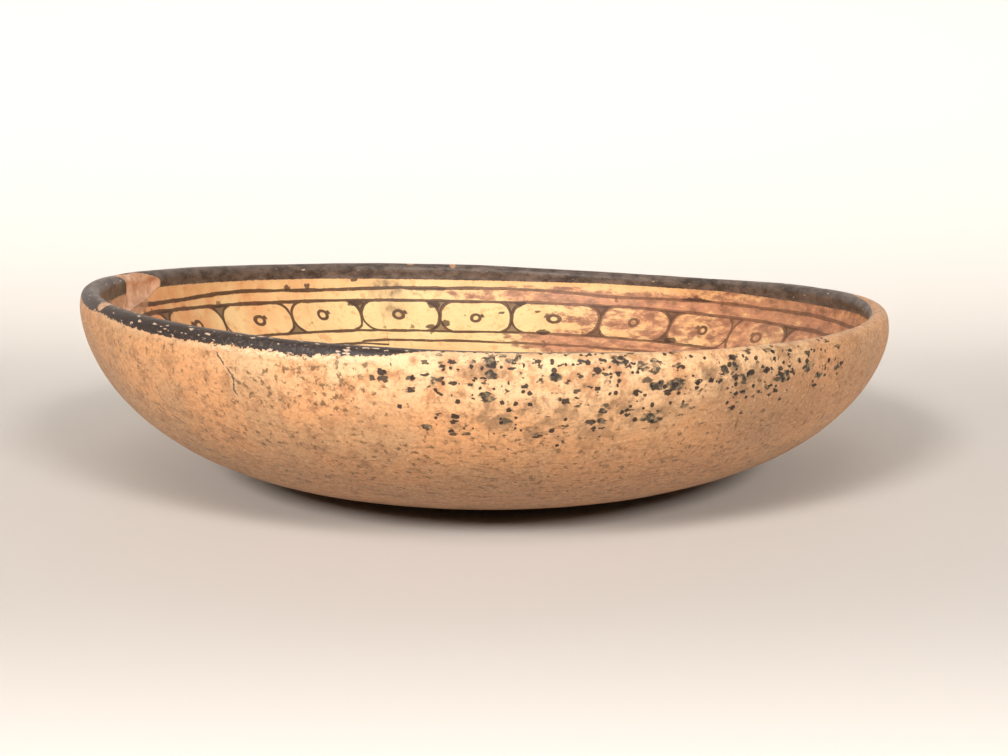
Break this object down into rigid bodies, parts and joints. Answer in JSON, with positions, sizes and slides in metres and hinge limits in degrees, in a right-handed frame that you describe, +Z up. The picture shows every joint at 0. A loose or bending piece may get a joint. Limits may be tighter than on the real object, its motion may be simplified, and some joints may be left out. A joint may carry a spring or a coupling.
{
  "type": "pottery bowl",
  "caption": "Shallow hand-built pottery bowl with a thick round lip, a chip out of its inner edge and a small flat spot to stand on; painted inside; holds food or loose things.",
  "frame": {"origin": "middle of the flat spot that the bowl stands on, at the centre of its outline seen from above", "axes": "+Z up out of the bowl's mouth; +Y towards the back, whose painted inner wall faces the viewer; +X to the viewer's right, so the chipped side of the lip is at -X"},
  "size_m": [0.26, 0.26, 0.0634],
  "materials": {
    "painted_clay": "matte"
  },
  "bodies": {
    "root": {"bowl": "painted_clay"}
  },
  "joints": []
}
